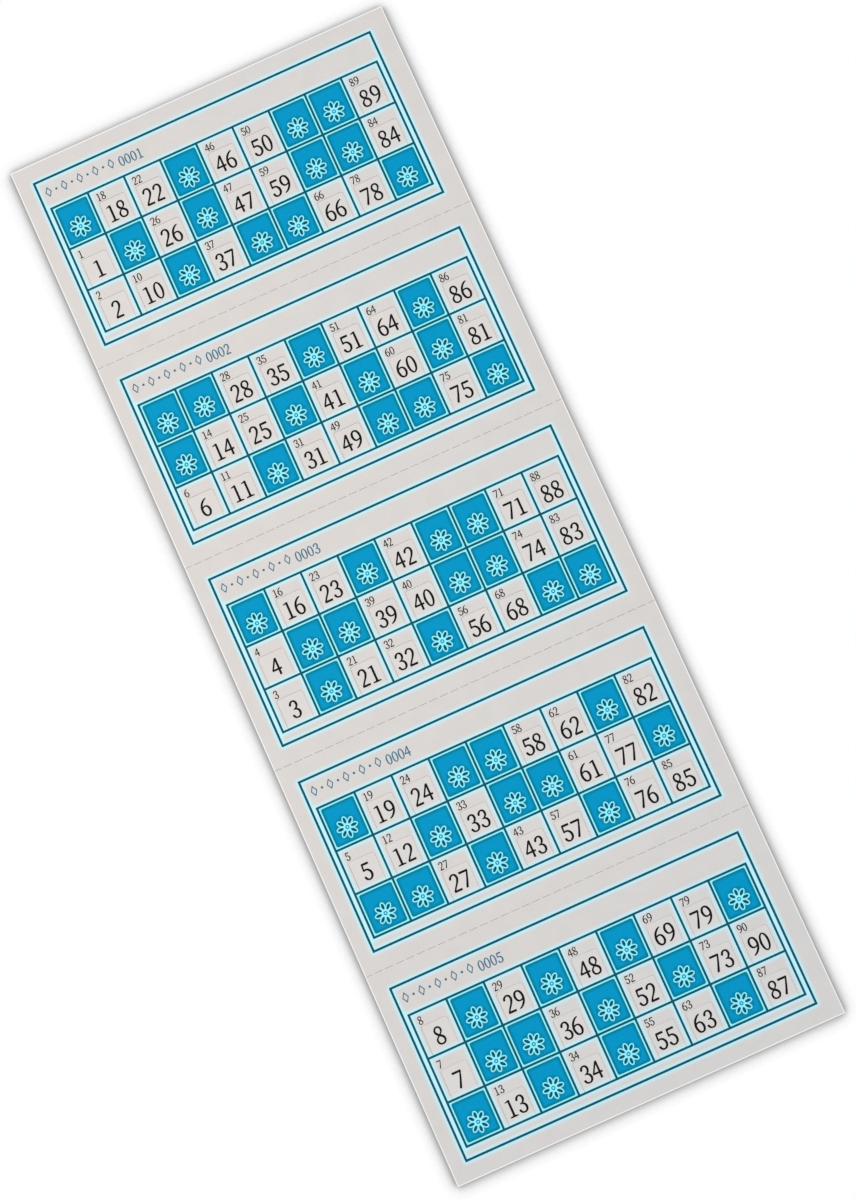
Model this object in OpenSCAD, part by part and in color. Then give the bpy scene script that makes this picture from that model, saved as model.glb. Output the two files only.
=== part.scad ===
// A strip of five bingo cards in light board, lying face up.
// Perforated lines part the cards, and each called number has a die-cut flap that folds back on its crease.
// X runs across the strip, +Y towards the first card, +Z out of the printed face. The back face is at Z 0.

/* [Board] */
// Thickness of the board
board_t = 0.4; // [0.25:0.05:0.6]
// Bare board left of the number grid
left_margin = 8.5; // [4:0.1:15]
// Bare board right of the number grid
right_margin = 9.9; // [4:0.1:15]
// Board above the grid, with the header band
top_margin = 18.1; // [12:0.1:25]
// Board below the grid, down to the perforation
bottom_margin = 11.4; // [6:0.1:18]

/* [Number grid] */
// Width of one cell, from line to line
cell_w = 14.4; // [11:0.1:18]
// Height of one cell, from line to line
cell_h = 16.5; // [13:0.1:21]

/* [Flaps] */
// Board between a flap and the cell's line on either side
flap_side = 2.2; // [1:0.1:3.5]
// Board between the cell's top line and a flap, where the small number is
flap_head = 5.3; // [4:0.1:7]
// Height of the crease above the cell's bottom line
crease_lift = 0.3; // [0.2:0.05:1]
// Radius of a flap's two free corners
flap_corner_r = 1; // [0.5:0.1:2]
// Width of the die-cut line round a flap
flap_slit = 0.06; // [0.04:0.01:0.2]

/* [Perforation] */
// Length of one cut of the perforation
cut_l = 3; // [2:0.1:5]
// Length of one tie left between two cuts
tie_l = 1.05; // [0.6:0.05:2]
// Width of a cut across the fold line
cut_w = 0.12; // [0.08:0.01:0.4]

/* [Folds] */
// Gap between two pieces along a fold or crease line
fold_gap = 0.02; // [0.01:0.01:0.06]

/* [Hidden] */
$fn = 48;
// Numbers on each card, by row from the top and by column from the left. A zero is a blank cell with no flap.
numbers = [
    [[0, 18, 22, 0, 46, 50, 0, 0, 89], [1, 0, 26, 0, 47, 59, 0, 0, 84], [2, 10, 0, 37, 0, 0, 66, 78, 0]],
    [[0, 0, 28, 35, 0, 51, 64, 0, 86], [0, 14, 25, 0, 41, 0, 60, 0, 81], [6, 11, 0, 31, 49, 0, 0, 75, 0]],
    [[0, 16, 23, 0, 42, 0, 0, 71, 88], [4, 0, 0, 39, 40, 0, 0, 74, 83], [3, 0, 21, 32, 0, 56, 68, 0, 0]],
    [[0, 19, 24, 0, 0, 58, 62, 0, 82], [5, 12, 0, 33, 0, 0, 61, 77, 0], [0, 0, 27, 0, 43, 57, 0, 76, 85]],
    [[8, 0, 29, 0, 48, 0, 69, 79, 0], [7, 0, 0, 36, 0, 52, 0, 73, 90], [0, 13, 0, 34, 0, 55, 63, 0, 87]],
];
card_count = len(numbers);
row_count = len(numbers[0]);
column_count = len(numbers[0][0]);
last_row = row_count - 1;
strip_w = left_margin + column_count * cell_w + right_margin;
card_l = top_margin + row_count * cell_h + bottom_margin;
strip_l = card_count * card_l;
flap_w = cell_w - 2 * flap_side;
flap_h = cell_h - flap_head - crease_lift;
cut_pitch = cut_l + tie_l;
tie_count = floor(strip_w / cut_pitch);
board_colour = "#dedada";
flap_colour = "#d6d1d0";

// Y of a card's top edge, counting the cards from 0
function card_top(card) = strip_l / 2 - card * card_l;
// Middle of a cell from the left, and its crease from the top
function cell_x(column) = left_margin - strip_w / 2 + (column + 0.5) * cell_w;
function crease_y(card, row) = card_top(card) - top_margin - (row + 1) * cell_h + crease_lift;
// Columns of a row that hold a number
function flap_columns(card, row) = [for (c = [0 : column_count - 1]) if (numbers[card][row][c] > 0) c];

function card_name(card) = str("card_", card + 1);
function flap_name(card, row, column) = str("flap_", numbers[card][row][column]);
function last_row_name(card) = str("card_", card + 1, "_bottom_row_flaps");

// A tab that stands on the X axis, with its two upper corners rounded
module tab_outline(width, height, corner_r) {
    translate([-width / 2, 0]) square([width, height - corner_r]);
    translate([corner_r - width / 2, 0]) square([width - 2 * corner_r, height]);
    for (side = [-1, 1])
        translate([side * (width / 2 - corner_r), height - corner_r]) circle(corner_r);
}

// The opening that the die leaves for a flap: the flap, its slit on three sides and the crease
module window_outline() {
    translate([0, -fold_gap / 2])
        tab_outline(flap_w + 2 * flap_slit, flap_h + flap_slit + fold_gap / 2, flap_corner_r + flap_slit);
}

module flap_outline() {
    translate([0, fold_gap / 2]) tab_outline(flap_w, flap_h - fold_gap / 2, flap_corner_r);
}

// A straight gap along the X axis, from side to side of the strip
module gap_outline(width) {
    translate([-strip_w / 2 - 1, -width / 2]) square([strip_w + 2, width]);
}

// One perforated line along the X axis: the cuts, which run out at both sides, and the thin gap on which its ties fold
module perforation_outline() {
    difference() {
        gap_outline(cut_w);
        for (i = [0 : tie_count - 1])
            translate([(i - (tie_count - 1) / 2) * cut_pitch - tie_l / 2, -cut_w]) square([tie_l, 2 * cut_w]);
    }
    gap_outline(fold_gap);
}

module card_panel(card) {
    color(board_colour) linear_extrude(board_t) difference() {
        translate([-strip_w / 2, card_top(card) - card_l]) square([strip_w, card_l]);
        if (card > 0)
            translate([0, card_top(card)]) perforation_outline();
        if (card < card_count - 1)
            translate([0, card_top(card + 1)]) perforation_outline();
        for (r = [0 : last_row], c = flap_columns(card, r))
            translate([cell_x(c), crease_y(card, r)]) window_outline();
    }
}

module flap(card, row, column) {
    color(flap_colour) translate([cell_x(column), crease_y(card, row), 0])
        linear_extrude(board_t) flap_outline();
}

// The bottom row's flaps share one crease line
module last_row_flaps(card) {
    for (c = flap_columns(card, last_row)) flap(card, last_row, c);
}

for (k = [0 : card_count - 1]) {
    card_panel(k);
    for (r = [0 : last_row - 1], c = flap_columns(k, r))
        flap(k, r, c);
    last_row_flaps(k);
}
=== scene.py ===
import math
import random

import bmesh
import bpy
from mathutils import Matrix, Quaternion, Vector
from mathutils.geometry import delaunay_2d_cdt


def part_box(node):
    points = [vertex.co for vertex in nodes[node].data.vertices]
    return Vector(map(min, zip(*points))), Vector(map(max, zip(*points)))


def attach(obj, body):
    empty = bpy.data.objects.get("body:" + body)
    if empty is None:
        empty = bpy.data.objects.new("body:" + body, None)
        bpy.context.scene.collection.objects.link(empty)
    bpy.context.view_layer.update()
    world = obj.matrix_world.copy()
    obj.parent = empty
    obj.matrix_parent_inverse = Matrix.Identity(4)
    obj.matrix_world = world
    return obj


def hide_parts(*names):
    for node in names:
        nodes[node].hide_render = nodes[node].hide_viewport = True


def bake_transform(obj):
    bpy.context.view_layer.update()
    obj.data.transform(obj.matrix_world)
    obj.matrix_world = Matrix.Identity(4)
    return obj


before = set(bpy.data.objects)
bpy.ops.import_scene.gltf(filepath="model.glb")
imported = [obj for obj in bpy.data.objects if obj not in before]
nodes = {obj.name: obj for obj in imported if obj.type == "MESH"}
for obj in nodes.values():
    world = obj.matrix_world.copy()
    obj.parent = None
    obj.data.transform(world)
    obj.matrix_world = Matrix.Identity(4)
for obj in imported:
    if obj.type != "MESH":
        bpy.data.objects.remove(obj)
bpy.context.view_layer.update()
mm = 0.001

# The numbers on each card, by row from the top and by column from the left. A zero is a blank blue cell.
cards = [
    [[0, 18, 22, 0, 46, 50, 0, 0, 89], [1, 0, 26, 0, 47, 59, 0, 0, 84], [2, 10, 0, 37, 0, 0, 66, 78, 0]],
    [[0, 0, 28, 35, 0, 51, 64, 0, 86], [0, 14, 25, 0, 41, 0, 60, 0, 81], [6, 11, 0, 31, 49, 0, 0, 75, 0]],
    [[0, 16, 23, 0, 42, 0, 0, 71, 88], [4, 0, 0, 39, 40, 0, 0, 74, 83], [3, 0, 21, 32, 0, 56, 68, 0, 0]],
    [[0, 19, 24, 0, 0, 58, 62, 0, 82], [5, 12, 0, 33, 0, 0, 61, 77, 0], [0, 0, 27, 0, 43, 57, 0, 76, 85]],
    [[8, 0, 29, 0, 48, 0, 69, 79, 0], [7, 0, 0, 36, 0, 52, 0, 73, 90], [0, 13, 0, 34, 0, 55, 63, 0, 87]],
]


# Layout, in millimetres, from the frame
def boxMm(node):
    low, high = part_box(node)
    return low / mm, high / mm


def middleX(node):
    low, high = boxMm(node)
    return (low.x + high.x) / 2


# A crease lies this far above the bottom line of its cell
creaseLift = 0.3
cardHigh = boxMm("card_1")[1]
flapLow, flapHigh = boxMm("flap_18")
boardTop = cardHigh.z
stripHalf = Vector((cardHigh.x, cardHigh.y))
cardLength = 2 * stripHalf.y / len(cards)
cellWidth = middleX("flap_22") - middleX("flap_18")
cellHeight = flapLow.y - boxMm("flap_1")[0].y
gridLeft = middleX("flap_18") - (cards[0][0].index(18) + 0.5) * cellWidth
gridWidth = len(cards[0][0]) * cellWidth
gridHeight = len(cards[0]) * cellHeight
gridDrop = cardHigh.y - flapLow.y - cellHeight + creaseLift
flapHalf = (flapHigh.x - flapLow.x) / 2
flapHeight = flapHigh.y - flapLow.y


def gridTop(card):
    return stripHalf.y - card * cardLength - gridDrop


def cellCorner(card, row, column):
    return gridLeft + column * cellWidth, gridTop(card) - row * cellHeight


def cells(card, blank):
    return [
        (row, column, cards[card][row][column])
        for row in range(len(cards[card]))
        for column in range(len(cards[card][row]))
        if (cards[card][row][column] == 0) == blank
    ]


# Print that repeats on every card, in millimetres: the ruled lines, a blank cell and its flower.
# The materials below follow the same values.
lines = {
    "frameInset": 2.1,
    "frameAbove": 11.0,
    "frameBelow": 4.35,
    "frame": 0.84,
    "grid": 0.8,
    "cornerBlend": 1.2,
}
blueCell = {
    "inset": 0.93,
    "corner": 0.7,
    "paleInset": 0.2,
    "flowerDrop": 10.3,
}
rosette = {
    "petals": 8,
    "petalPlace": 2.5,
    "petalLength": 1.35,
    "petalWidth": 0.76,
    "line": 0.43,
    "ring": 1.02,
    "ringLine": 0.57,
    "dot": 0.35,
    "heartInset": 0.28,
}


# Materials
def linear(colour):
    channels = [int(colour[i:i + 2], 16) / 255 for i in (1, 3, 5)]
    return [c / 12.92 if c <= 0.04045 else ((c + 0.055) / 1.055) ** 2.4 for c in channels] + [1.0]


def addNode(tree, kind, inputs=None, **settings):
    node = tree.nodes.new("ShaderNode" + kind)
    for name, value in settings.items():
        setattr(node, name, value)
    for key, value in (inputs or {}).items():
        if isinstance(value, bpy.types.NodeSocket):
            tree.links.new(value, node.inputs[key])
        else:
            node.inputs[key].default_value = value
    return node


def newMaterial(name):
    material = bpy.data.materials.new(name)
    material.use_nodes = True
    material.node_tree.nodes.clear()
    return material, material.node_tree


# Paper and ink are both rough dielectrics, with an IOR of about 1.5
def finishSurface(tree, colour, roughness, specular, height):
    bump = addNode(tree, "Bump", {"Height": height, "Distance": board["relief"] * mm, "Strength": 1.0})
    shader = addNode(tree, "BsdfPrincipled", {
        "Base Color": colour,
        "Roughness": roughness,
        "IOR": 1.5,
        "Specular IOR Level": specular,
        "Normal": bump.outputs["Normal"],
    })
    addNode(tree, "OutputMaterial", {"Surface": shader.outputs["BSDF"]})


# White-lined board of about 300 g per square metre: wood fibre that was pressed, sized and calendered, and
# not coated. The eye gets a matt face whose tone clouds over some millimetres and a fine felt grain. Along
# the strip's outer rim a painted highlight stands in for light catching the cut edge, and the tabs are
# painted a shade lighter than the cards, for the light they catch. Real fibres are about 0.03 mm thick, too
# fine to show, so the grain is drawn ten times as coarse.
board = {
    "cardColours": ("#d7d2cf", "#dcd7d4"),
    # The tabs' colours are a shade lighter than the cards': painted light, for the light a tab catches
    "tabPaintedLighterColours": ("#dad5d2", "#dfdad7"),
    # The rim colour and the two widths after it paint a highlight along the strip's outer rim, for light on
    # the cut edge
    "rimHighlightColour": "#f8f6f5",
    "rimSolid": 0.27,
    "rimWidth": 0.45,
    "cloudSize": 7.0,
    "fibreSize": 0.3,
    "toneRange": (0.7, 1.3),
    "relief": 0.012,
    "roughness": 0.8,
    "specular": 0.25,
}


# A place on any card, in millimetres right and down from the top left corner of that card's grid, and its
# height. The three functions after it work out how far such a place is from the print.
def gridSpot(tree, place):
    onStrip = addNode(tree, "VectorMath", {
        0: place, 1: (1 / mm, -1 / mm, 1 / mm), 2: (-gridLeft, stripHalf.y, 0),
    }, operation="MULTIPLY_ADD")
    axes = addNode(tree, "SeparateXYZ", {"Vector": onStrip.outputs[0]})
    onCard = addNode(tree, "Math", {0: axes.outputs["Y"], 1: cardLength}, operation="FLOORED_MODULO")
    down = addNode(tree, "Math", {0: onCard.outputs[0], 1: gridDrop}, operation="SUBTRACT")
    spot = addNode(tree, "CombineXYZ", {"X": axes.outputs["X"], "Y": down.outputs[0]})
    return spot.outputs[0], axes.outputs["Z"]


# Inside a cell this gap is measured to the nearest line, and turns the cell's corners softly
def gapToGrid(tree, spot):
    low = addNode(tree, "VectorMath", {0: spot, 1: (0, 0, 0)}, operation="MAXIMUM")
    inGrid = addNode(tree, "VectorMath", {
        0: low.outputs[0], 1: (gridWidth, gridHeight, 0),
    }, operation="MINIMUM")
    outside = addNode(tree, "VectorMath", {0: spot, 1: inGrid.outputs[0]}, operation="DISTANCE")
    halfOn = addNode(tree, "VectorMath", {0: inGrid.outputs[0], 1: (cellWidth / 2, cellHeight / 2, 0)})
    crossing = addNode(tree, "VectorMath", {
        0: halfOn.outputs[0], 1: (cellWidth, cellHeight, 1),
    }, operation="SNAP")
    away = addNode(tree, "VectorMath", {0: inGrid.outputs[0], 1: crossing.outputs[0]}, operation="SUBTRACT")
    size = addNode(tree, "VectorMath", {0: away.outputs[0]}, operation="ABSOLUTE")
    sizes = addNode(tree, "SeparateXYZ", {"Vector": size.outputs[0]})
    inside = addNode(tree, "Math", {
        0: sizes.outputs["X"], 1: sizes.outputs["Y"], 2: lines["cornerBlend"],
    }, operation="SMOOTH_MIN")
    return addNode(tree, "Math", {0: inside.outputs[0], 1: outside.outputs["Value"]}).outputs[0]


def gapToFrame(tree, spot):
    above, below, inset = lines["frameAbove"], lines["frameBelow"], lines["frameInset"]
    middle = (gridWidth / 2, (gridHeight + below - above) / 2, 0)
    half = (gridWidth / 2 + inset, (gridHeight + below + above) / 2, 0)
    fromMiddle = addNode(tree, "VectorMath", {0: spot, 1: middle}, operation="SUBTRACT")
    reach = addNode(tree, "VectorMath", {0: fromMiddle.outputs[0]}, operation="ABSOLUTE")
    past = addNode(tree, "VectorMath", {0: reach.outputs[0], 1: half}, operation="SUBTRACT")
    pastAxes = addNode(tree, "SeparateXYZ", {"Vector": past.outputs[0]})
    deepest = addNode(tree, "Math", {
        0: pastAxes.outputs["X"], 1: pastAxes.outputs["Y"],
    }, operation="MAXIMUM")
    inFrame = addNode(tree, "Math", {0: deepest.outputs[0], 1: 0.0}, operation="MINIMUM")
    beyond = addNode(tree, "VectorMath", {0: past.outputs[0], 1: (0, 0, 0)}, operation="MAXIMUM")
    offFrame = addNode(tree, "VectorMath", {0: beyond.outputs[0]}, operation="LENGTH")
    signedGap = addNode(tree, "Math", {0: inFrame.outputs[0], 1: offFrame.outputs["Value"]})
    return addNode(tree, "Math", {0: signedGap.outputs[0]}, operation="ABSOLUTE").outputs[0]


def gapToFlower(tree, spot):
    onCell = addNode(tree, "VectorMath", {0: spot, 1: (cellWidth, cellHeight, 1)}, operation="MODULO")
    middle = (cellWidth / 2, blueCell["flowerDrop"], 0)
    fromMiddle = addNode(tree, "VectorMath", {0: onCell.outputs[0], 1: middle}, operation="DISTANCE")
    reach = rosette["petalPlace"] + rosette["petalLength"]
    return addNode(tree, "Math", {0: fromMiddle.outputs["Value"], 1: reach}, operation="SUBTRACT").outputs[0]


# A share that falls from its full value at the near gap to nothing at the far one
def fadeOut(tree, gap, look):
    return addNode(tree, "MapRange", {
        "Value": gap,
        "From Min": look["near"],
        "From Max": look["far"],
        "To Min": look["share"],
        "To Max": 0.0,
    }, interpolation_type="SMOOTHSTEP").outputs[0]


# A pale bloom of the blue lies on the bare board beside each ruled line. The front is where the height is
# above this part of the board's thickness.
bloom = {"colour": "#c2f2fd", "share": 0.9, "near": 0.4, "far": 2.1, "frontAbove": 0.9}


def bloomShare(tree, place):
    spot, height = gridSpot(tree, place)
    beside = [fadeOut(tree, gap, bloom) for gap in (gapToGrid(tree, spot), gapToFrame(tree, spot))]
    both = addNode(tree, "Math", {0: beside[0], 1: beside[1]}, use_clamp=True)
    front = addNode(tree, "Math", {
        0: height, 1: boardTop * bloom["frontAbove"],
    }, operation="GREATER_THAN")
    return addNode(tree, "Math", {0: both.outputs[0], 1: front.outputs[0]}, operation="MULTIPLY").outputs[0]


# A painted highlight along the strip's outer edges, standing in for light catching the cut edge
def rimShare(tree, place):
    axes = addNode(tree, "SeparateXYZ", {"Vector": place})
    fromSides = addNode(tree, "Math", {0: axes.outputs["X"]}, operation="ABSOLUTE")
    fromEnds = addNode(tree, "Math", {0: axes.outputs["Y"]}, operation="ABSOLUTE")
    sideGap = addNode(tree, "Math", {0: stripHalf.x * mm, 1: fromSides.outputs[0]}, operation="SUBTRACT")
    endGap = addNode(tree, "Math", {0: stripHalf.y * mm, 1: fromEnds.outputs[0]}, operation="SUBTRACT")
    nearest = addNode(tree, "Math", {0: sideGap.outputs[0], 1: endGap.outputs[0]}, operation="MINIMUM")
    return addNode(tree, "MapRange", {
        "Value": nearest.outputs[0],
        "From Min": board["rimSolid"] * mm,
        "From Max": board["rimWidth"] * mm,
        "To Min": 1.0,
        "To Max": 0.0,
    }).outputs["Result"]


# On a card the bloom is worked out by place. A tab bends, so its mesh carries the share at each point.
def calenderedBoard(name, onCard):
    material, tree = newMaterial(name)
    place = addNode(tree, "TexCoord").outputs["Object"]
    cloud = addNode(tree, "TexNoise", {"Vector": place, "Scale": 1 / (board["cloudSize"] * mm), "Detail": 4})
    fibre = addNode(tree, "TexNoise", {"Vector": place, "Scale": 1 / (board["fibreSize"] * mm), "Detail": 3})
    both = addNode(tree, "Math", {0: cloud.outputs["Fac"], 1: fibre.outputs["Fac"]}, operation="ADD")
    low, high = board["toneRange"]
    share = addNode(tree, "MapRange", {"Value": both.outputs[0], "From Min": low, "From Max": high})
    # A tab's board is painted a shade lighter, standing in for the light it catches
    cloudColour, colour = board["cardColours"] if onCard else board["tabPaintedLighterColours"]
    tone = addNode(tree, "Mix", {
        "Factor": share.outputs["Result"], 6: linear(cloudColour), 7: linear(colour),
    }, data_type="RGBA")
    if onCard:
        bloomed = bloomShare(tree, place)
    else:
        attribute = addNode(tree, "Attribute", attribute_name="bloom", attribute_type="GEOMETRY")
        bloomed = attribute.outputs["Fac"]
    tone = addNode(tree, "Mix", {
        "Factor": bloomed, 6: tone.outputs[2], 7: linear(bloom["colour"]),
    }, data_type="RGBA")
    # On a card, a painted highlight along the strip's outer rim
    if onCard:
        tone = addNode(tree, "Mix", {
            "Factor": rimShare(tree, place), 6: tone.outputs[2], 7: linear(board["rimHighlightColour"]),
        }, data_type="RGBA")
    finishSurface(tree, tone.outputs[2], board["roughness"], board["specular"], fibre.outputs["Fac"])
    return material


# Offset printing ink: a rolled-on film of pigment and oil a few microns thick, with no varnish. The eye gets
# a flat, half-matt colour that takes the board's grain, and thins a little in patches under a millimetre
# across.
offset = {"roughness": 0.6, "patchSize": 0.6, "patchRange": (0.35, 0.65)}

# The press squeezes some of the blue out to the rims of its area, where it dries darker
squeeze = {
    "colour": "#007890",
    "cell": {"share": 1.0, "near": 0.95, "far": 2.4},
    "flower": {"share": 0.6, "near": 0.1, "far": 1.1},
}


def squeezeShare(tree, place):
    spot = gridSpot(tree, place)[0]
    cellShare = fadeOut(tree, gapToGrid(tree, spot), squeeze["cell"])
    flowerShare = fadeOut(tree, gapToFlower(tree, spot), squeeze["flower"])
    return addNode(tree, "Math", {0: cellShare, 1: flowerShare}, operation="MAXIMUM").outputs[0]


def offsetInk(name, colour, thinColour, specular, squeezed=False):
    material, tree = newMaterial(name)
    place = addNode(tree, "TexCoord").outputs["Object"]
    patch = addNode(tree, "TexNoise", {
        "Vector": place, "Scale": 1 / (offset["patchSize"] * mm), "Detail": 3,
    })
    fibre = addNode(tree, "TexNoise", {"Vector": place, "Scale": 1 / (board["fibreSize"] * mm), "Detail": 3})
    low, high = offset["patchRange"]
    share = addNode(tree, "MapRange", {"Value": patch.outputs["Fac"], "From Min": low, "From Max": high})
    tone = addNode(tree, "Mix", {
        "Factor": share.outputs["Result"], 6: linear(thinColour), 7: linear(colour),
    }, data_type="RGBA")
    if squeezed:
        tone = addNode(tree, "Mix", {
            "Factor": squeezeShare(tree, place), 6: tone.outputs[2], 7: linear(squeeze["colour"]),
        }, data_type="RGBA")
    finishSurface(tree, tone.outputs[2], offset["roughness"], specular, fibre.outputs["Fac"])
    return material


calenderedCard = calenderedBoard("calenderedCard", True)
# Board for the tabs and ties, painted a shade lighter as painted light
calenderedTabPaintedLighter = calenderedBoard("calenderedTabPaintedLighter", False)
offsetCyan = offsetInk("offsetCyan", "#0094c5", "#0099c9", 0.05, squeezed=True)
offsetPaleCyan = offsetInk("offsetPaleCyan", "#92f1ff", "#9cf4ff", 0.1)
offsetTeal = offsetInk("offsetTeal", "#055262", "#0a5a6b", 0.05)
offsetBlack = offsetInk("offsetBlack", "#0c0b0c", "#151415", 0.08)
offsetSoftBlack = offsetInk("offsetSoftBlack", "#0b0a0b", "#161516", 0.08)
offsetSlate = offsetInk("offsetSlate", "#37708d", "#427893", 0.1)
print("materials ready")


# Shapes that are drawn once at their real thickness, and then placed wherever they repeat
def savedShape(name, shape):
    mesh = bpy.data.meshes.new(name)
    shape.to_mesh(mesh)
    shape.free()
    return mesh


def thicken(shape, depth):
    grown = bmesh.ops.extrude_face_region(shape, geom=shape.faces[:])["geom"]
    lifted = [part for part in grown if isinstance(part, bmesh.types.BMVert)]
    bmesh.ops.translate(shape, vec=(0, 0, depth), verts=lifted)
    bmesh.ops.recalc_face_normals(shape, faces=shape.faces[:])


def cutAcross(shape, places):
    for y in places:
        geom = shape.verts[:] + shape.edges[:] + shape.faces[:]
        bmesh.ops.bisect_plane(shape, geom=geom, plane_co=(0, y, 0), plane_no=(0, 1, 0))


def newPiece(name, shape, material):
    bmesh.ops.scale(shape, vec=(mm, mm, mm), verts=shape.verts[:])
    mesh = savedShape(name, shape)
    mesh.materials.append(material)
    piece = bpy.data.objects.new(name, mesh)
    bpy.context.scene.collection.objects.link(piece)
    return piece


# Each entry in placed is a shape, the X and Y of its origin, and its size across the board
def placeShapes(name, placed, material, tilt=Matrix.Identity(4)):
    shape = bmesh.new()
    for drawn, x, y, size in placed:
        first = len(shape.verts)
        shape.from_mesh(drawn)
        shape.verts.ensure_lookup_table()
        bmesh.ops.scale(shape, vec=(size, size, 1), verts=shape.verts[first:])
        bmesh.ops.translate(shape, vec=(x, y, 0), verts=shape.verts[first:])
    bmesh.ops.transform(shape, matrix=tilt, verts=shape.verts[:])
    piece = newPiece(name, shape, material)
    return piece


# The film is drawn thicker than it is, in millimetres, so that it stays clear of the board's face and of a
# film printed over it. Points closer than joinGap are one, and faces flatter than flatAngle are joined.
ink = {"sunk": 0.01, "under": 0.006, "proud": 0.012, "over": 0.018, "joinGap": 1e-5, "flatAngle": 0.01}


# One film from outlines that may overlap, less the holes. No operator joins flat outlines, so a
# triangulation of what lies inside them does it first.
def inkShape(name, solids, holes=(), proud=ink["proud"]):
    corners, outlines = [], []
    for outline in [*solids, *holes]:
        outlines.append(list(range(len(corners), len(corners) + len(outline))))
        corners += [Vector(point) for point in outline]
    spots, _, parts, _, _, sources = delaunay_2d_cdt(corners, [], outlines, 1, ink["joinGap"])
    shape = bmesh.new()
    verts = [shape.verts.new((spot.x, spot.y, boardTop - ink["sunk"])) for spot in spots]
    for part, source in zip(parts, sources):
        if source and max(source) < len(solids):
            shape.faces.new([verts[i] for i in part])
    bmesh.ops.delete(shape, geom=[vert for vert in shape.verts if not vert.link_faces], context="VERTS")
    bmesh.ops.dissolve_limit(shape, angle_limit=ink["flatAngle"], verts=shape.verts[:], edges=shape.edges[:])
    thicken(shape, ink["sunk"] + proud)
    return savedShape(name, shape)


# A smooth curve through the points, with as many steps between each two
def smoothLine(points, closed, steps):
    count = len(points)
    made = []
    for i in range(count if closed else count - 1):
        near = [j % count if closed else min(max(j, 0), count - 1) for j in range(i - 1, i + 3)]
        for s in range(steps):
            t = s / steps
            made.append(tuple(
                0.5 * (2 * b + (c - a) * t + (2 * a - 5 * b + 4 * c - d) * t ** 2
                       + (3 * b - a - 3 * c + d) * t ** 3)
                for a, b, c, d in zip(*(points[j] for j in near))
            ))
    return made if closed else made + [points[-1]]


def disc(x, y, radius, count=16):
    turns = [2 * math.pi * i / count for i in range(count)]
    return [(x + radius * math.cos(a), y + radius * math.sin(a)) for a in turns]


# Outlines that cover a pen stroke along points (x, y, width): a ring, or open with square or round ends
def stroke(kind, points, steps=6):
    closed = kind == "ring"
    line = smoothLine(points, closed, steps if len(points) > 2 else 1)
    sides = []
    for i, (x, y, width) in enumerate(line):
        before = line[i - 1] if closed or i > 0 else line[i]
        after = line[(i + 1) % len(line)] if closed or i < len(line) - 1 else line[i]
        along = Vector((after[0] - before[0], after[1] - before[1])).normalized() * width / 2
        sides.append(((x - along.y, y + along.x), (x + along.y, y - along.x)))
    ends = zip(sides, sides[1:] + sides[:1]) if closed else zip(sides, sides[1:])
    covers = [[a[1], b[1], b[0], a[0]] for a, b in ends]
    if kind == "round":
        covers += [disc(x, y, width / 2) for x, y, width in (line[0], line[-1])]
    return covers


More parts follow.
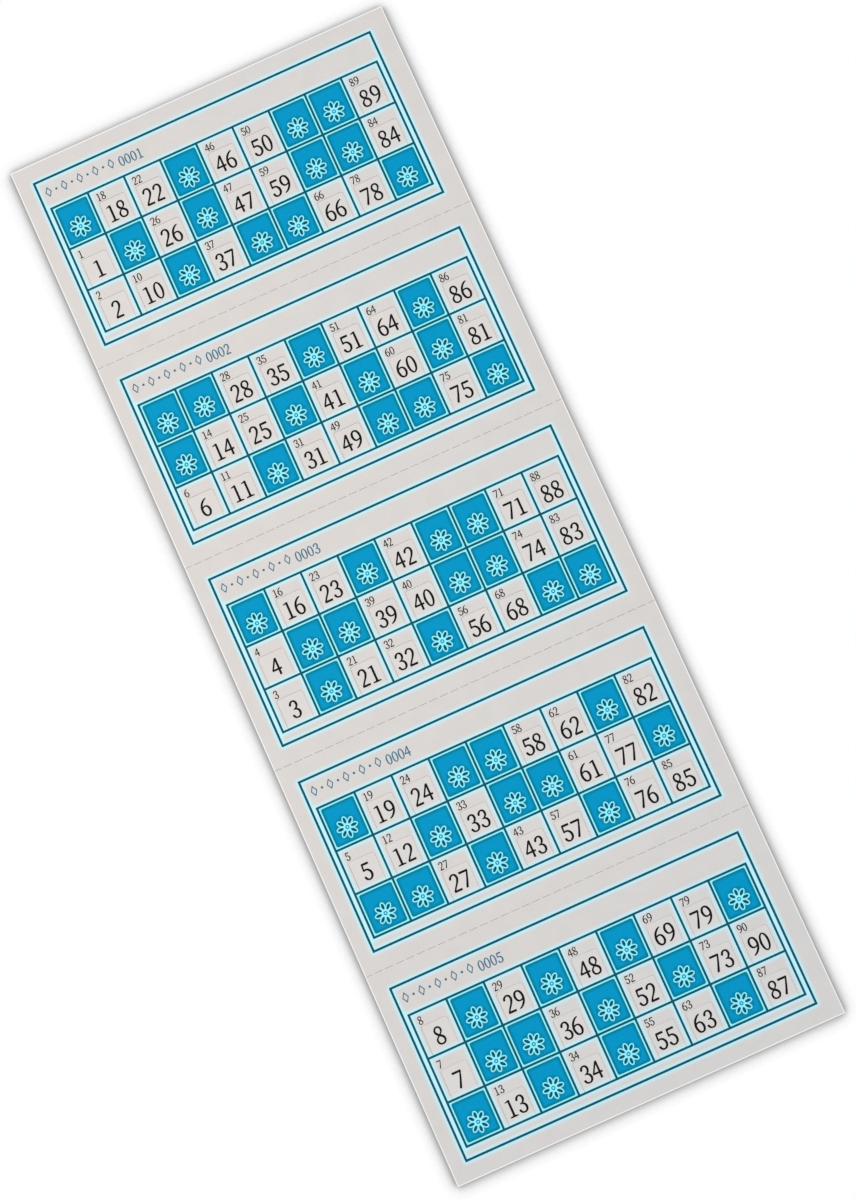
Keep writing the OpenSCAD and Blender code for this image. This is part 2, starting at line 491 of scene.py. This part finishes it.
# Numerals of a book face, as strokes (x, y, width) in hundredths of their height, from the middle of the
# foot line
six = [
    ("square", [(20, 98, 4), (6, 92, 7), (-8, 79, 8.5), (-17, 64, 9), (-21.5, 45, 9.5), (-21, 29, 9.5),
                (-15, 12, 9), (-6, 4, 7.5), (3, 2.5, 7), (14, 8, 8.5), (20.5, 25, 9.5), (18, 42, 9),
                (11, 53, 7.5), (1, 57, 6.5), (-9, 55, 6), (-19, 48, 5)]),
]
numerals = {
    "0": [("ring", [(-21, 50, 9.5), (-15, 83, 8), (0, 97, 6), (15, 83, 8),
                    (21, 50, 9.5), (15, 17, 8), (0, 3, 6), (-15, 17, 8)])],
    "1": [("square", [(1, 2, 9.5), (1, 50, 9), (1, 97, 9)]),
          ("square", [(-21, 88, 3.5), (-10, 90, 5.5), (1, 93, 7)]),
          ("square", [(-23, 2, 4), (1, 3.5, 8), (25, 2, 4)])],
    "2": [("round", [(-19, 78, 9), (-15, 88, 8.5), (-2, 96.5, 6.7), (13, 91, 8.5), (18.5, 75, 9.5),
                     (15, 59, 9), (6, 43, 7.5), (-6, 27, 7), (-19, 7, 7)]),
          ("square", [(-23, 4.5, 9), (23, 4.5, 9)])],
    "3": [("round", [(-17.5, 79, 9.5), (-12, 90, 8.5), (0, 96.5, 6.5), (13, 91, 8.5), (18, 76, 9.5),
                     (14, 62, 8), (4, 52, 6)]),
          ("square", [(-8, 50.5, 4.5), (9, 50.5, 7)]),
          ("round", [(4, 50, 6), (16, 43, 8.5), (22, 28, 9.8), (19, 13, 9), (10, 4, 7), (0, 2.5, 6.5),
                     (-12, 6, 7.5), (-19.5, 18, 9.5)])],
    "4": [("square", [(11, 0, 9.2), (11, 98, 8)]),
          ("square", [(9, 95, 7), (-26, 33, 6.5)]),
          ("square", [(-29, 33.5, 7.8), (28, 33.5, 7.8)])],
    "5": [("square", [(-17, 91, 9.2), (24.5, 91, 9.2)]),
          ("square", [(-14, 93, 7), (-16, 54, 7)]),
          ("round", [(-15, 56, 6.5), (-5, 59, 7), (8, 55.5, 8), (18.5, 43, 9.5), (21.5, 28, 9.8),
                     (17, 13, 9), (6, 4, 7.2), (-5, 3, 7), (-15, 9, 8.5), (-20, 19, 9.5)])],
    "6": six,
    "7": [("square", [(-27, 90, 9), (26, 90, 9)]),
          ("round", [(22, 90, 6.5), (7, 46, 8), (-9, 5, 9.5)])],
    "8": [("ring", [(-1, 51, 9.5), (-14, 63, 9.5), (-19, 77, 8.5), (-13, 92, 7.5), (-1, 97, 6.8),
                    (12, 92, 7.5), (17, 77, 8.2), (11, 62, 6), (-1, 51, 5.5), (-16, 39, 6.5),
                    (-22, 24, 8.5), (-16, 8, 7.5), (-1, 2.5, 6.8), (15, 8, 7.5), (21, 24, 9),
                    (15, 39, 9.5)])],
    "9": [(kind, [(-x, 100 - y, width) for x, y, width in points]) for kind, points in six],
}


def numeralShapes(weight):
    made = {}
    for digit, strokes in numerals.items():
        covers = []
        for kind, points in strokes:
            covers += stroke(kind, [(x, y, width * weight) for x, y, width in points])
        made[digit] = inkShape("numeral" + digit, covers)
    return made


# Numbers on the cards, in millimetres. The weight thickens the strokes of their digits.
bigNumber = {"height": 6.4, "foot": 2.6, "advance": 4.0, "weight": 1.4}
smallNumber = {"height": 2.94, "top": 1.82, "left": 2.3, "width": 1.45, "advance": 1.78, "weight": 1.48}
serialNumber = {"height": 3.8, "foot": 7.5, "left": 30.4, "advance": 2.36}
bigNumerals = numeralShapes(bigNumber["weight"])
smallNumerals = numeralShapes(smallNumber["weight"])


def placedNumber(shapes, text, firstX, footY, look):
    return [(shapes[digit], firstX + i * look["advance"], footY, look["height"] / 100)
            for i, digit in enumerate(text)]


def bar(x0, y0, x1, y1):
    return [(x0, y0), (x1, y0), (x1, y1), (x0, y1)]


def lineOutlines():
    reach = lines["frameInset"]
    top, bottom = lines["frameAbove"], -gridHeight - lines["frameBelow"]
    left, right = -reach, gridWidth + reach
    half = lines["frame"] / 2
    made = [
        bar(left - half, bottom - half, left + half, top + half),
        bar(right - half, bottom - half, right + half, top + half),
        bar(left - half, top - half, right + half, top + half),
        bar(left - half, bottom - half, right + half, bottom + half),
    ]
    half = lines["grid"] / 2
    for column in range(len(cards[0][0]) + 1):
        made.append(bar(column * cellWidth - half, -gridHeight - half, column * cellWidth + half, half))
    for row in range(len(cards[0]) + 1):
        made.append(bar(-half, -row * cellHeight - half, gridWidth + half, -row * cellHeight + half))
    return made


def roundedBox(x0, y0, x1, y1, radius, count=4):
    corners = [(x1 - radius, y1 - radius), (x0 + radius, y1 - radius),
               (x0 + radius, y0 + radius), (x1 - radius, y0 + radius)]
    made = []
    for quarter, (x, y) in enumerate(corners):
        for i in range(count + 1):
            turn = (quarter + i / count) * math.pi / 2
            made.append((x + radius * math.cos(turn), y + radius * math.sin(turn)))
    return made


def oval(x, y, long, short, turn, count=32):
    points = []
    for i in range(count):
        a = 2 * math.pi * i / count
        across, up = short * math.cos(a), long * math.sin(a)
        points.append((x + across * math.cos(turn) - up * math.sin(turn),
                       y + across * math.sin(turn) + up * math.cos(turn)))
    return points


def petals(x, y):
    for i in range(rosette["petals"]):
        turn = 2 * math.pi * i / rosette["petals"]
        yield x - rosette["petalPlace"] * math.sin(turn), y + rosette["petalPlace"] * math.cos(turn), turn


# The flower that the blue leaves bare in each blank cell
def rosetteOutlines(x, y):
    rings = [(oval(x, y, rosette["ring"], rosette["ring"], 0), rosette["ringLine"])]
    rings += [(oval(px, py, rosette["petalLength"], rosette["petalWidth"], turn), rosette["line"])
              for px, py, turn in petals(x, y)]
    made = [disc(x, y, rosette["dot"])]
    for ring, width in rings:
        made += stroke("ring", [(*point, width) for point in ring], 1)
    return made


# The darker hearts of its petals
def heartOutlines(x, y):
    long = rosette["petalLength"] - rosette["heartInset"]
    short = rosette["petalWidth"] - rosette["heartInset"]
    return [oval(px, py, long, short, turn, count=12) for px, py, turn in petals(x, y)]


# A blank cell, from its top left corner: the blue with the flower left bare, the pale ink that fills the gap
# between it and the grid, and the hearts
inset, paleInset = blueCell["inset"], blueCell["paleInset"]
flowerPlace = (cellWidth / 2, -blueCell["flowerDrop"])
blueOutline = roundedBox(inset, inset - cellHeight, cellWidth - inset, -inset, blueCell["corner"])
paleOutline = bar(paleInset, paleInset - cellHeight, cellWidth - paleInset, -paleInset)
lineShape = inkShape("lineShape", lineOutlines())
cellShape = inkShape("cellShape", [blueOutline], holes=rosetteOutlines(*flowerPlace))
paleShape = inkShape("paleShape", [paleOutline], proud=ink["under"])
heartShape = inkShape("heartShape", heartOutlines(*flowerPlace), proud=ink["over"])


# The header's ornament: lozenges and dots in turn, in millimetres
ornament = {
    "left": 1.6,
    "drop": 4.9,
    "pitch": 3.1,
    "count": 9,
    "lozengeHeight": 3.4,
    "lozengeWidth": 2.04,
    "line": 0.36,
    "dot": 0.45,
}


def lozengeOutlines():
    up, across, width = ornament["lozengeHeight"] / 2, ornament["lozengeWidth"] / 2, ornament["line"]
    tips = [(0, up, width), (across, 0, width), (0, -up, width), (-across, 0, width)]
    covers = []
    for a, b in zip(tips, tips[1:] + tips[:1]):
        covers += stroke("round", [a, b])
    return covers


lozengeShape = inkShape("lozengeShape", lozengeOutlines())
dotShape = inkShape("dotShape", [disc(0, 0, ornament["dot"])])


def headerPlaces(card):
    left, top = gridLeft, gridTop(card) + lines["frameAbove"]
    placed = []
    for i in range(ornament["count"]):
        shape = dotShape if i % 2 else lozengeShape
        placed.append((shape, left + ornament["left"] + i * ornament["pitch"], top - ornament["drop"], 1))
    serial = str(card + 1).zfill(4)
    return placed + placedNumber(smallNumerals, serial, left + serialNumber["left"],
                                 top - serialNumber["foot"], serialNumber)


def smallPlaces(card):
    placed = []
    for row, column, number in cells(card, False):
        x, y = cellCorner(card, row, column)
        firstX = x + smallNumber["left"] + smallNumber["width"] / 2
        footY = y - smallNumber["top"] - smallNumber["height"]
        placed += placedNumber(smallNumerals, str(number), firstX, footY, smallNumber)
    return placed


for card in range(len(cards)):
    body = f"card_{card + 1}"
    nodes[body].data.materials.clear()
    nodes[body].data.materials.append(calenderedCard)
    corners = [cellCorner(card, row, column) for row, column, _ in cells(card, True)]
    for name, placed, material, slotName in (
        ("ruledLines", [(lineShape, gridLeft, gridTop(card), 1)], offsetTeal, "blue_ink"),
        ("paleCells", [(paleShape, x, y, 1) for x, y in corners], offsetPaleCyan, "blue_ink"),
        ("blueCells", [(cellShape, x, y, 1) for x, y in corners], offsetCyan, "blue_ink"),
        ("petalHearts", [(heartShape, x, y, 1) for x, y in corners], offsetTeal, "blue_ink"),
        ("smallNumbers", smallPlaces(card), offsetSoftBlack, "black_ink"),
        ("headerPrint", headerPlaces(card), offsetSlate, "header_ink"),
    ):
        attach(placeShapes(f"{name}_{card + 1}", placed, material), body)
print("cards printed")


# Flaps: board tabs that bend at the crease, each with its big number, in millimetres. The window is the gap
# round the tab in the frame. In the scene the tab fills it up to the slits. None lies quite flush after
# die-cutting, so each one's free end rises or sinks by chance.
flapLook = {
    "windowGap": 0.06,
    "slit": 0.03,
    "rightSlit": 0.012,
    "corner": 1.0,
    "cornerSteps": 6,
    "rimBevel": 0.18,
    "rightBevel": 0.06,
    "bend": 0.8,
    "bendRows": 8,
    "lowest": -0.04,
    "highest": 0.03,
}
chance = random.Random(5)


# One tab, with the middle of its crease at the origin. The die rounds its free corners and presses its rim
# down, and less on its right side.
def drawTab():
    left = flapLook["slit"] - flapLook["windowGap"] - flapHalf
    right = flapHalf + flapLook["windowGap"] - flapLook["rightSlit"]
    top = flapHeight + flapLook["windowGap"] - flapLook["slit"]
    shape = bmesh.new()
    bmesh.ops.create_grid(shape, x_segments=1, y_segments=1, size=0.5)
    bmesh.ops.scale(shape, vec=(right - left, top, 1), verts=shape.verts[:])
    bmesh.ops.translate(shape, vec=((left + right) / 2, top / 2, 0), verts=shape.verts[:])
    free = [vert for vert in shape.verts if vert.co.y > top / 2]
    bmesh.ops.bevel(shape, geom=free, offset=flapLook["corner"], affect="VERTICES",
                    segments=flapLook["cornerSteps"], profile=0.5, material=-1)
    thicken(shape, boardTop)
    rim = [edge for edge in shape.edges
           if edge.verts[0].co.z == edge.verts[1].co.z and edge.verts[0].co.y + edge.verts[1].co.y > 0]
    bmesh.ops.bevel(shape, geom=rim, offset=flapLook["rimBevel"], affect="EDGES",
                    segments=1, profile=0.5, material=-1)
    # The face reaches further out near the right side, up to the narrower bevel
    narrower = (flapLook["rimBevel"] - flapLook["rightBevel"]) / (flapLook["corner"] - flapLook["rimBevel"])
    for vert in shape.verts:
        if vert.co.z > boardTop - flapLook["rightBevel"] / 2:
            vert.co.x += narrower * max(vert.co.x - right + flapLook["corner"], 0)
    rowDepth = flapLook["bend"] / flapLook["bendRows"]
    rows = max(flapLook["bend"], bloom["far"] - creaseLift) / rowDepth
    cutAcross(shape, [rowDepth * (i + 1) for i in range(math.ceil(rows))])
    return savedShape("tabShape", shape)


tabShape = drawTab()


# Lifts a flap's free end by the rise and keeps its crease where it is
def tiltAbout(crease, rise):
    tilt = Matrix.Identity(4)
    tilt[2][1] = rise / flapHeight
    tilt[2][3] = -crease * rise / flapHeight
    return tilt


# The share that bloomShare would give at each point of a tab that lies flat
def bloomAlong(tab, crease):
    layer = tab.data.attributes.new("bloom", "FLOAT", "POINT")
    for vert, held in zip(tab.data.vertices, layer.data):
        gap = vert.co.y / mm - crease + creaseLift
        far = min(max((gap - bloom["near"]) / (bloom["far"] - bloom["near"]), 0), 1)
        onFront = vert.co.z / mm > boardTop / 2
        held.value = bloom["share"] * (1 - far * far * (3 - 2 * far)) * onFront


def makeFlaps(card, row, found, node):
    crease = gridTop(card) - (row + 1) * cellHeight + creaseLift
    tilt = tiltAbout(crease, chance.uniform(flapLook["lowest"], flapLook["highest"]))
    tabs, digits = [], []
    for column, number in found:
        x, y = cellCorner(card, row, column)
        middle = x + cellWidth / 2
        tabs.append((tabShape, middle, crease, 1))
        text = str(number)
        firstX = middle - (len(text) - 1) * bigNumber["advance"] / 2
        digits += placedNumber(bigNumerals, text, firstX, y - cellHeight + bigNumber["foot"], bigNumber)
    tab = placeShapes(f"tab_{node}", tabs, calenderedTabPaintedLighter, tilt)
    bloomAlong(tab, crease)
    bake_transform(tab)
    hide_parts(node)
    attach(placeShapes(f"number_{node}", digits, offsetBlack, tilt), node)


for card in range(len(cards)):
    for row in range(len(cards[card])):
        found = [(column, number) for r, column, number in cells(card, False) if r == row]
        if row == len(cards[card]) - 1:
            makeFlaps(card, row, found, f"card_{card + 1}_bottom_row_flaps")
        else:
            for column, number in found:
                makeFlaps(card, row, [(column, number)], f"flap_{number}")
print("flaps made")


# Ties that hold two cards together along a perforation, and bend with it, in millimetres
perforation = {"cut": 3.0, "tie": 1.05, "sideGap": 0.02, "reach": 0.06, "rows": 8, "below": 0.02}


def drawTie():
    reach, rows = perforation["reach"], perforation["rows"]
    shape = bmesh.new()
    bmesh.ops.create_cube(shape, size=1)
    bmesh.ops.scale(shape, verts=shape.verts[:], vec=(
        perforation["tie"] - 2 * perforation["sideGap"], 2 * reach, boardTop - 2 * perforation["below"],
    ))
    bmesh.ops.translate(shape, vec=(0, 0, boardTop / 2), verts=shape.verts[:])
    cutAcross(shape, [reach * (2 * i / rows - 1) for i in range(1, rows)])
    return savedShape("tieShape", shape)


tieShape = drawTie()


def makeTies(card):
    pitch = perforation["cut"] + perforation["tie"]
    count = int(2 * stripHalf.x / pitch)
    y0 = stripHalf.y - card * cardLength
    placed = [(tieShape, (i - (count - 1) / 2) * pitch, y0, 1) for i in range(count)]
    ties = placeShapes(f"ties_{card}_{card + 1}", placed, calenderedTabPaintedLighter)
    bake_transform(ties)


for card in range(1, len(cards)):
    makeTies(card)
print("ties made")


# Floor, light and camera, in millimetres
floorLook = {"drop": 0.9, "half": 3000, "paint": "#f2f2f2", "shadowReach": 6.0, "shadowLean": 0.05}

# How light the paint shows, by how open the place is to the room
shadowTones = (
    (0.0, 0.08),
    (0.5, 0.32),
    (0.69, 0.41),
    (0.81, 0.515),
    (0.875, 0.61),
    (0.94, 0.73),
    (0.966, 0.85),
    (0.985, 0.98),
    (0.995, 1.0),
)


# White matt paint, which shows plain white to the camera but for a soft shadow round what lies on it
def paintedFloor():
    material, tree = newMaterial("mattPaint")
    lean = addNode(tree, "CombineXYZ", {"Y": floorLook["shadowLean"], "Z": 1.0})
    openness = addNode(tree, "AmbientOcclusion", {
        "Distance": floorLook["shadowReach"] * mm, "Normal": lean.outputs[0],
    }, samples=16)
    ramp = addNode(tree, "ValToRGB", {"Fac": openness.outputs["AO"]})
    while len(ramp.color_ramp.elements) < len(shadowTones):
        ramp.color_ramp.elements.new(0.5)
    for element, (place, value) in zip(ramp.color_ramp.elements, shadowTones):
        element.position = place
        element.color = (value, value, value, 1)
    shown = addNode(tree, "Emission", {"Color": ramp.outputs["Color"], "Strength": 1.0})
    plain = addNode(tree, "BsdfDiffuse", {"Color": linear(floorLook["paint"])})
    ray = addNode(tree, "LightPath").outputs["Is Camera Ray"]
    both = addNode(tree, "MixShader", {0: ray, 1: plain.outputs[0], 2: shown.outputs[0]})
    addNode(tree, "OutputMaterial", {"Surface": both.outputs[0]})
    return material


def makeFloor():
    shape = bmesh.new()
    bmesh.ops.create_grid(shape, x_segments=1, y_segments=1, size=floorLook["half"])
    bmesh.ops.translate(shape, vec=(0, 0, -floorLook["drop"]), verts=shape.verts[:])
    newPiece("floor", shape, paintedFloor())


# Cool daylight from all round, and a warm lamp near the left side, which reaches the lower right less
daylight = {"colour": "#f0f8ff", "strength": 0.931}
roomLamp = {"colour": "#ffddb1", "power": 0.603, "size": 250, "place": (-185, 105, 450)}


def makeWorld():
    world = bpy.data.worlds.new("softWhite")
    world.use_nodes = True
    tree = world.node_tree
    tree.nodes.clear()
    ray = addNode(tree, "LightPath").outputs["Is Camera Ray"]
    light = addNode(tree, "Background", {
        "Color": linear(daylight["colour"]), "Strength": daylight["strength"],
    })
    seen = addNode(tree, "Background", {"Color": linear("#ffffff"), "Strength": 1.0})
    both = addNode(tree, "MixShader", {0: ray, 1: light.outputs[0], 2: seen.outputs[0]})
    addNode(tree, "OutputWorld", {"Surface": both.outputs[0]})
    bpy.context.scene.world = world


def makeLamp():
    light = bpy.data.lights.new("roomLamp", "AREA")
    light.shape = "SQUARE"
    light.size = roomLamp["size"] * mm
    light.energy = roomLamp["power"]
    light.color = linear(roomLamp["colour"])[:3]
    lamp = bpy.data.objects.new("roomLamp", light)
    lamp.location = Vector(roomLamp["place"]) * mm
    lamp.rotation_mode = "QUATERNION"
    lamp.rotation_quaternion = (-lamp.location).to_track_quat("-Z", "Y")
    bpy.context.scene.collection.objects.link(lamp)


# A lens of 36 mm on a frame 36 mm high, above the strip and turned so that the strip leans to the left
cameraLook = {
    "lens": 36,
    "sensor": 36,
    "place": (1.7, -25.9, 426.8),
    "aim": (0.7, -6.4, 0),
    "roll": -24.3,
    "nearest": 10,
    "farthest": 20000,
}


def makeCamera():
    data = bpy.data.cameras.new("camera")
    data.lens = cameraLook["lens"]
    data.sensor_width = cameraLook["sensor"]
    data.clip_start = cameraLook["nearest"] * mm
    data.clip_end = cameraLook["farthest"] * mm
    camera = bpy.data.objects.new("camera", data)
    camera.location = Vector(cameraLook["place"]) * mm
    toAim = Vector(cameraLook["aim"]) - Vector(cameraLook["place"])
    camera.rotation_mode = "QUATERNION"
    turn = Quaternion((0, 0, 1), math.radians(cameraLook["roll"]))
    camera.rotation_quaternion = Vector((0, 0, -1)).rotation_difference(toAim) @ turn
    bpy.context.scene.collection.objects.link(camera)
    bpy.context.scene.camera = camera


makeFloor()
makeWorld()
makeLamp()
makeCamera()
bpy.context.scene.view_settings.view_transform = "Standard"
print("stage ready")
